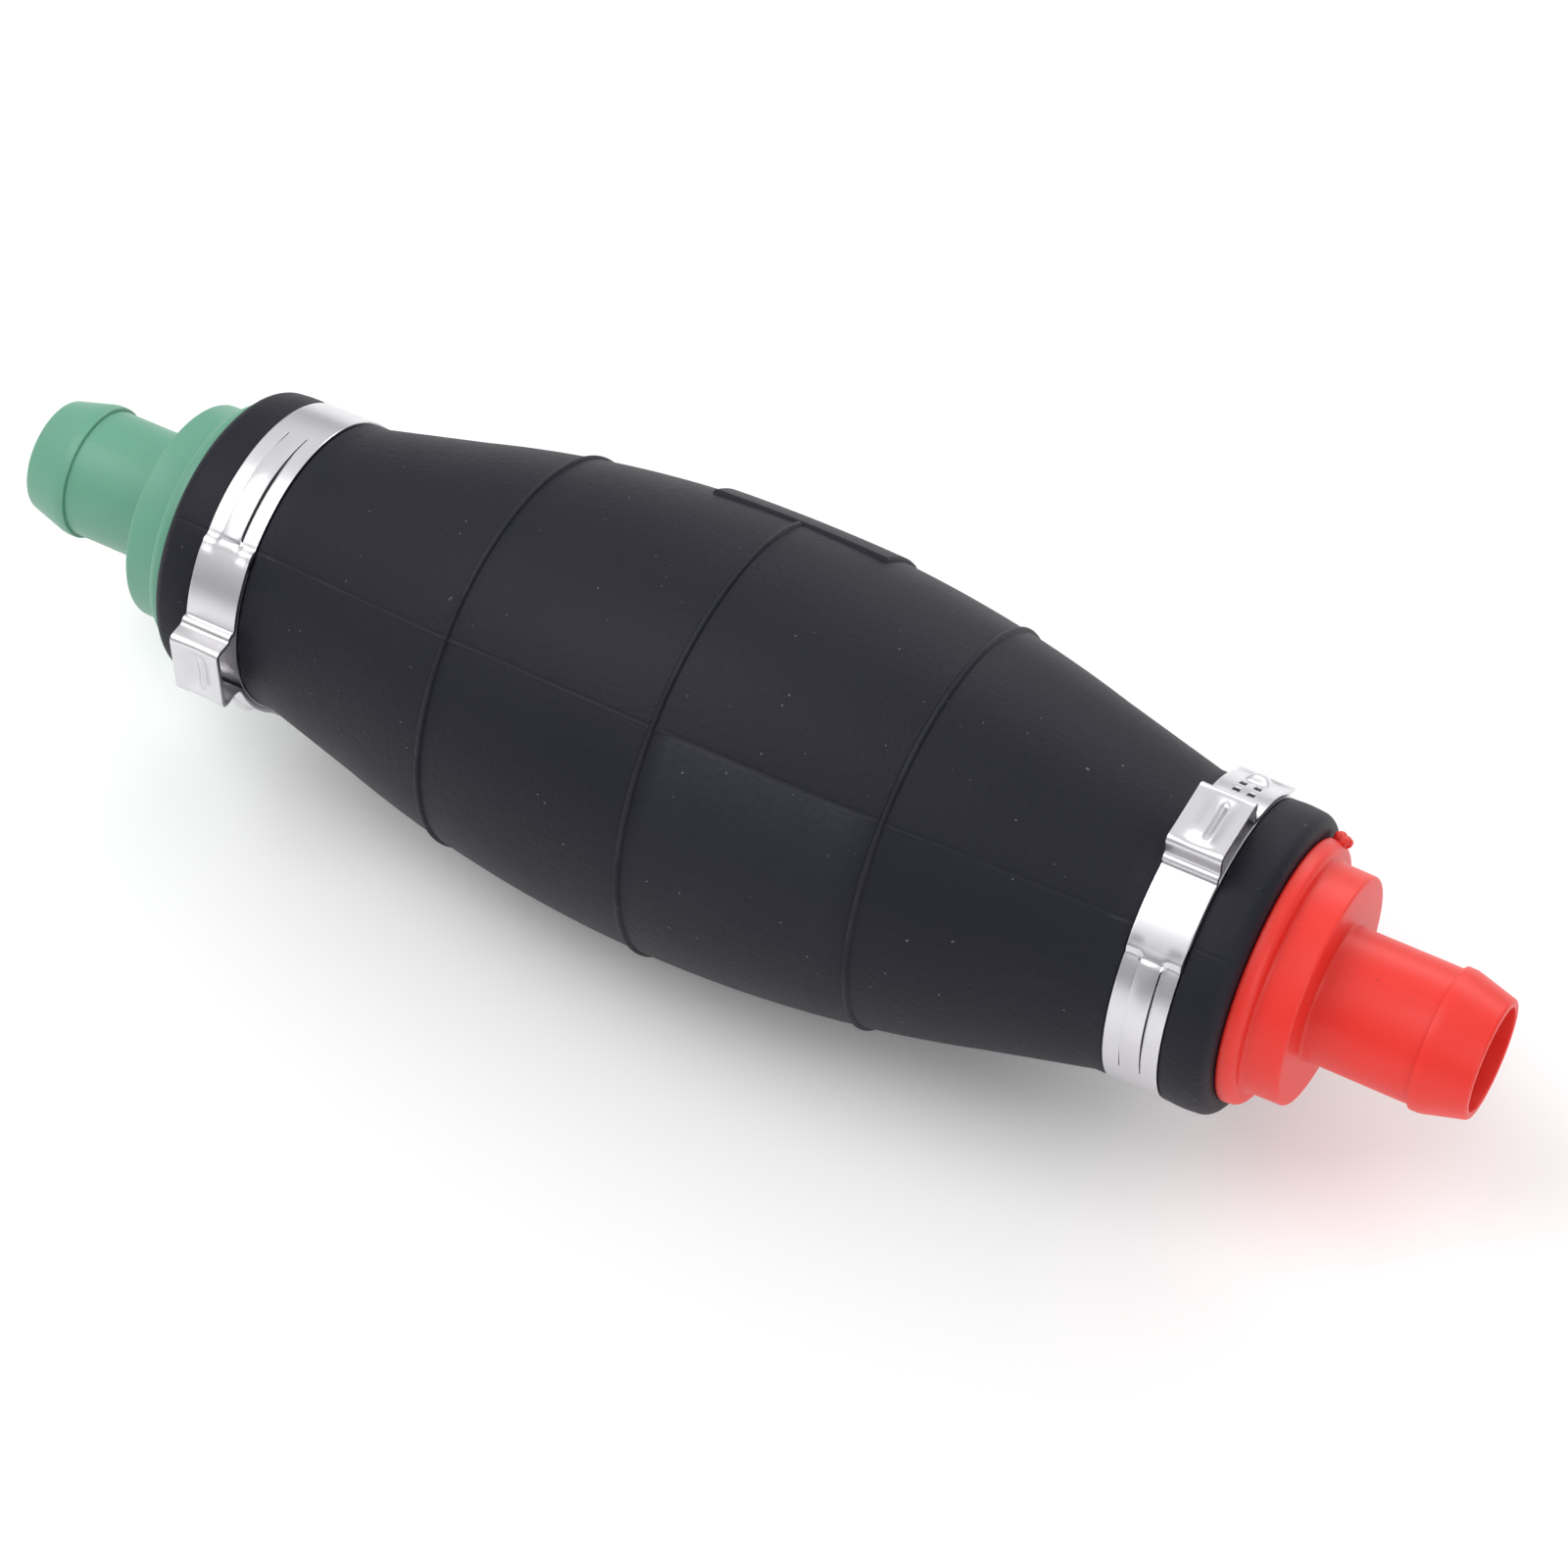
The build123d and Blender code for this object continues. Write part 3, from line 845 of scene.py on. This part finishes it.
print("strip's path has", len(strip_path()), "points")


# %% The strip's surface
lance = 1.4 * MM
half_width = band_width / 2
channel_lift = strip + 0.12 * MM
slit = 0.13 * MM
notch_run = 9.0
notch_depth = 3.4
tongue_narrows = (400.0, 406.0)


def strip_columns():
    """Places across the strip. Two of them are the lances, where the sheet can part."""
    side = np.linspace(lance, half_width, 10)
    middle = np.linspace(-lance, lance, 13)
    return np.concatenate([-side[::-1][:-1], middle, side[1:]]), (9, 21)


def end_pull(angle, x):
    """The outer end is notched: its middle stops short of its two points."""
    near = float(np.clip((angle - end_angle + notch_run) / notch_run, 0, 1))
    return near * notch_depth * (1 - min(1.0, abs(x) / half_width) ** 1.3)


def side_pull(angle, x):
    """The inner tongue is narrow so that it slides in the channel."""
    tongue = float(soft_step(-angle, *tongue_narrows))
    return x * (1 + (lance * 0.86 / half_width - 1) * tongue)


def raise_middle(angle):
    """How far the lanced middle stands above the side strips."""
    up = float(soft_step(-angle, -step_angle - 0.5, -step_angle + 4.0))
    down = float(soft_step(-angle, -raised_end - 26.0, -raised_end))
    return channel_lift * up * (1 - down)


# %% [markdown]
# ## What the press tool leaves
# The tool dents the ear to stiffen it, strikes a hook out of the outer end and cuts small windows behind
# it. The dents and the hook are smooth bumps added to the sheet, and the windows are faces left out of
# it.

# %% Pressed marks
dent_depth = 0.62 * MM
crease_height = 0.42 * MM
crease_across = 0.40 * MM
boss_height = 0.15 * MM
boss_along = 2.2 * MM
saddle_depth = 0.22 * MM
hook_height = 0.85 * MM
corner_depth = 0.14 * MM
window_inner = 0.55 * MM
window_outer = 1.5 * MM


def ear_dent(angle, x):
    """Long dent that stiffens the ear, with a crease along it."""
    along = ear_top * math.tan(math.radians(angle))
    oval = (abs(x) / (1.75 * MM)) ** 3 + (abs(along) / (3.5 * MM)) ** 4
    crease = math.exp(-((x - crease_across) / (0.30 * MM)) ** 2 - (along / (2.7 * MM)) ** 8)
    boss = math.exp(-((x - crease_across) ** 2 + (along - boss_along) ** 2) / (0.55 * MM) ** 2)
    saddle = -saddle_depth * (1 - (x / half_width) ** 2) * math.exp(-(along / (4.2 * MM)) ** 4)
    return saddle - dent_depth * math.exp(-oval) + crease_height * crease + boss_height * boss


def spot(angle, x, at, across, long, wide, height):
    """A rounded bump or dent. long and wide are its half sizes, along and across the strip."""
    along = outer_layer * math.radians(angle - at)
    return height * math.exp(-(along / long) ** 4 - ((x - across) / wide) ** 4)


def pressed_marks(angle, x):
    """Everything that the press tool puts into the strip."""
    if abs(angle) < dent_reach:
        return ear_dent(angle, x)
    total = sum(spot(angle, x, step_angle, side * 2.5 * MM, 1.1 * MM, 0.9 * MM, -corner_depth)
                for side in (-1, 1))
    return total + spot(angle, x, hook_angle, 0.0, 1.5 * MM, 1.2 * MM, hook_height)


def is_window(angle, x):
    """The small openings that the hooks catch in, through both layers of the strip."""
    round_once = angle + 360.0 if angle < -180.0 else angle
    struck = any(at - 1.9 < round_once < at + 1.1 for at in window_angles)
    return struck and window_inner < abs(x) < window_outer


print("windows at", window_angles, "degrees, hook at", hook_angle)


# %% One clamp's mesh
def clamp_mesh(name, middle_x, ear_angle, way):
    """The strip as one sheet. way says to which side of the ear the outer end lies, about +X."""
    path = strip_path()
    flat = np.array([(p[0], p[1]) for p in path])
    angles = [p[2] for p in path]
    along = np.gradient(flat, axis=0)
    along /= np.linalg.norm(along, axis=1)[:, None]
    outward = np.stack([along[:, 1], -along[:, 0]], axis=1)
    columns, cuts = strip_columns()
    points = []
    index = {}

    def vertex(i, j, centre):
        angle = angles[i]
        parted = j in cuts and raised_end < angle < step_angle - 4.0
        key = (i, j, centre and parted)
        if key in index:
            return index[key]
        x = side_pull(angle, columns[j])
        lifted = cuts[0] < j < cuts[1] or (parted and centre)
        if parted and centre:
            x -= math.copysign(slit, x)
        push = pressed_marks(angle, x)
        if lifted or j in cuts and not parted:
            push += raise_middle(angle) * ((1.0 - 0.25 * (x / lance) ** 2) if lifted else 0.5)
        place = flat[i] + outward[i] * push
        about = math.radians(ear_angle) + way * (math.atan2(*place) - math.radians(end_pull(angle, x)))
        out = math.hypot(*place)
        index[key] = len(points)
        points.append((middle_x + x, -out * math.cos(about), out * math.sin(about)))
        return index[key]

    faces = []
    for i in range(len(path) - 1):
        for j in range(len(columns) - 1):
            if is_window(angles[i], (columns[j] + columns[j + 1]) / 2):
                continue
            centre = cuts[0] <= j < cuts[1]
            face = (vertex(i, j, centre), vertex(i + 1, j, centre),
                    vertex(i + 1, j + 1, centre), vertex(i, j + 1, centre))
            faces.append(face[::way])
    piece = mesh_object(name, points, faces, 180)
    thick = piece.modifiers.new("strip_thickness", "SOLIDIFY")
    thick.thickness = strip - 0.03 * MM
    thick.offset = 0.0
    thick.use_even_offset = True
    edge = piece.modifiers.new("rolled_edge", "BEVEL")
    edge.width = 0.10 * MM
    edge.segments = 2
    edge.limit_method = "ANGLE"
    edge.angle_limit = math.radians(55)
    print(name, "has", len(points), "points before its thickness")
    return piece


# %% Both clamps
inlet_ear = 0.0
outlet_ear = 87.0
inlet_clamp = clamp_mesh("inlet_clamp_strip", -band_middle, inlet_ear, -1)
outlet_clamp = clamp_mesh("outlet_clamp_strip", band_middle, outlet_ear, 1)
finish_piece(inlet_clamp, steel, "stainless_band", "root", "inlet_clamp")
finish_piece(outlet_clamp, steel, "stainless_band", "root", "outlet_clamp")

# %% [markdown]
# ## What is inside
# The valves keep their CAD shapes and only need a finish. A spring is the exception: a copy of it with the
# wire finish takes its place. The real spring shortens as its valve opens, but the copy stays as it is.

# %% Inner pieces
finishes = {"valve_seat": acetal, "valve_cage": acetal, "poppet": acetal, "poppet_seal": nitrile,
            "seat_oring": nitrile, "snap_ring": wire}
for end in ("inlet", "outlet"):
    for kind, material in finishes.items():
        for place in frame["nodes"][end + "_" + kind].material_slots:
            place.material = material
    coil = bpy.data.objects.new(end + "_valve_coil", frame["nodes"][end + "_valve_spring"].data.copy())
    bpy.context.scene.collection.objects.link(coil)
    coil.data.materials.clear()
    finish_piece(coil, wire, "spring_steel", None, end + "_valve_spring")
    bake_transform(coil)
print("inner pieces finished")

# %% [markdown]
# ## Floor, light and camera
# A pale floor and soft light from large lamps suit a product picture: rubber needs a wide reflection to
# show its shape, and steel only looks like steel when it has something bright and something dark to
# mirror.

# %% Floor
floor_mesh = bpy.data.meshes.new("floor")
floor_reach = 6.0
floor_drop = 0.0001
floor_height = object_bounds()[0][2] - floor_drop
floor_corners = [(x * floor_reach, y * floor_reach, floor_height)
                 for x, y in ((-1, -1), (1, -1), (1, 1), (-1, 1))]
floor_mesh.from_pydata(floor_corners, [], [(0, 1, 2, 3)])
floor = bpy.data.objects.new("floor", floor_mesh)
bpy.context.scene.collection.objects.link(floor)
floor_paint, floor_tree, floor_shader = new_material("pale_floor", Roughness=0.9, Specular_IOR_Level=0.1)
floor_shader.inputs["Base Color"].default_value = (0.93, 0.93, 0.93, 1)
floor_mesh.materials.append(floor_paint)
print("floor at", round(floor_height / MM, 2), "mm")


# %% Lamps
def lamp(name, place, size, power):
    light = bpy.data.lights.new(name, "AREA")
    light.shape = "RECTANGLE"
    light.size = size[0]
    light.size_y = size[1]
    light.energy = power
    holder = bpy.data.objects.new(name, light)
    holder.location = place
    holder.rotation_euler = (-Vector(place)).to_track_quat("-Z", "Y").to_euler()
    bpy.context.scene.collection.objects.link(holder)


lamp("key_lamp", (-0.35, -0.25, 0.75), (0.6, 0.5), 3.2)
lamp("side_lamp", (0.75, -0.45, 0.40), (0.4, 0.5), 2.0)
lamp("back_lamp", (0.1, 0.8, 0.45), (0.9, 0.3), 3.0)

# %% [markdown]
# ## The room's light
# A plain even world makes steel look flat. This one goes from grey low down to white above, and leans a
# little towards one side, so that steel and rubber have something to mirror all round.

# %% World
world = bpy.data.worlds.new("studio")
world.use_nodes = True
sky = world.node_tree
background = sky.nodes["Background"]
background.inputs["Strength"].default_value = 0.72
ways = add(sky, "ShaderNodeTexCoord")
split = add(sky, "ShaderNodeSeparateXYZ")
tent = add(sky, "ShaderNodeValToRGB")
tent.color_ramp.elements[0].position = 0.12
tent.color_ramp.elements[0].color = (0.30, 0.30, 0.32, 1)
tent.color_ramp.elements[1].position = 0.72
tent.color_ramp.elements[1].color = (1.25, 1.25, 1.25, 1)
tilt = add(sky, "ShaderNodeMath", operation="MULTIPLY_ADD", inputs={1: -0.30})
join(sky, (ways.outputs["Generated"], split.inputs["Vector"]), (split.outputs["X"], tilt.inputs[0]),
     (split.outputs["Z"], tilt.inputs[2]), (tilt.outputs[0], tent.inputs["Fac"]),
     (tent.outputs["Color"], background.inputs["Color"]))
bpy.context.scene.world = world
bpy.context.scene.view_settings.view_transform = "Standard"
print("world strength", round(background.inputs["Strength"].default_value, 2))

# %% Camera
azimuth = math.radians(29.2)
elevation = math.radians(49.4)
distance = 0.540
aside = 0.00613
down = 0.00541
forward = Vector((-math.sin(azimuth) * math.cos(elevation), math.cos(azimuth) * math.cos(elevation),
                  -math.sin(elevation)))
right = Vector((math.cos(azimuth), math.sin(azimuth), 0))
up = right.cross(forward)
view = bpy.data.cameras.new("camera")
view.sensor_width = 36.0
view.lens = 101.0
view.clip_start = 0.01
camera = bpy.data.objects.new("camera", view)
camera.location = right * aside - up * down - forward * distance
camera.rotation_euler = forward.to_track_quat("-Z", "Y").to_euler()
bpy.context.scene.collection.objects.link(camera)
bpy.context.scene.camera = camera
print("camera at", [round(v, 3) for v in camera.location])
